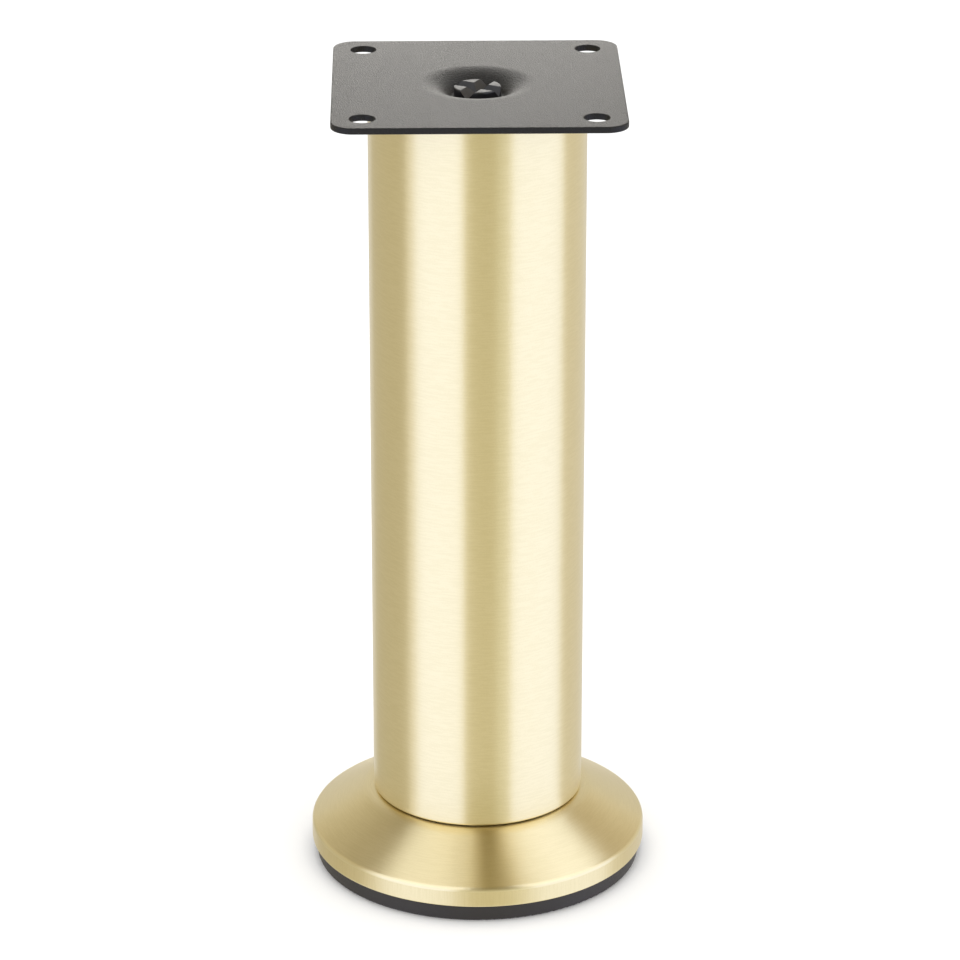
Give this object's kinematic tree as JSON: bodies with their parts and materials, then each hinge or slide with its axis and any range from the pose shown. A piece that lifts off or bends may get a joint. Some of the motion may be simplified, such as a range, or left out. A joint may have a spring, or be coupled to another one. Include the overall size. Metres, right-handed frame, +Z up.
{
  "type": "furniture leg",
  "caption": "Round brushed-brass furniture leg with a flared levelling foot on a black base, under a black square mounting plate with screw holes and a dished centre.",
  "frame": {"origin": "centre of the foot's sole, on the floor", "axes": "+Z up the leg's axis to the mounting plate; X and Y along the plate's sides"},
  "size_m": [0.08, 0.08, 0.1934],
  "materials": {
    "brushed_brass": "satin, brushed around the axis",
    "plate_coating": "black fine-textured powder coat",
    "black_steel": "black, semi-gloss",
    "zinc_steel": "bright zinc",
    "plug_plastic": "moulded, matte",
    "base_plastic": "moulded, matte"
  },
  "bodies": {
    "leg": {"leg_tube": "brushed_brass", "mounting_plate": "plate_coating", "plate_screw": "black_steel", "top_plug": "plug_plastic", "plate_nut": "zinc_steel", "bottom_plug": "plug_plastic", "spindle_nut": "zinc_steel"},
    "spindle": {"foot_spindle": "zinc_steel"},
    "foot": {"foot_skirt": "brushed_brass", "foot_base": "base_plastic"}
  },
  "joints": [
    {"name": "spindle_slide", "type": "slide", "parent": "leg", "child": "spindle", "axis": [0, 0, -1], "range_m": [0, 0.015]},
    {"name": "foot_turn", "type": "hinge", "parent": "spindle", "child": "foot", "pos_m": [0, 0, 0], "axis": [0, 0, -1], "range_deg": [0, 3600]}
  ],
  "couplings": [
    {"joint": "spindle_slide", "follows": "foot_turn", "m_per_rad": 0.0002387}
  ]
}
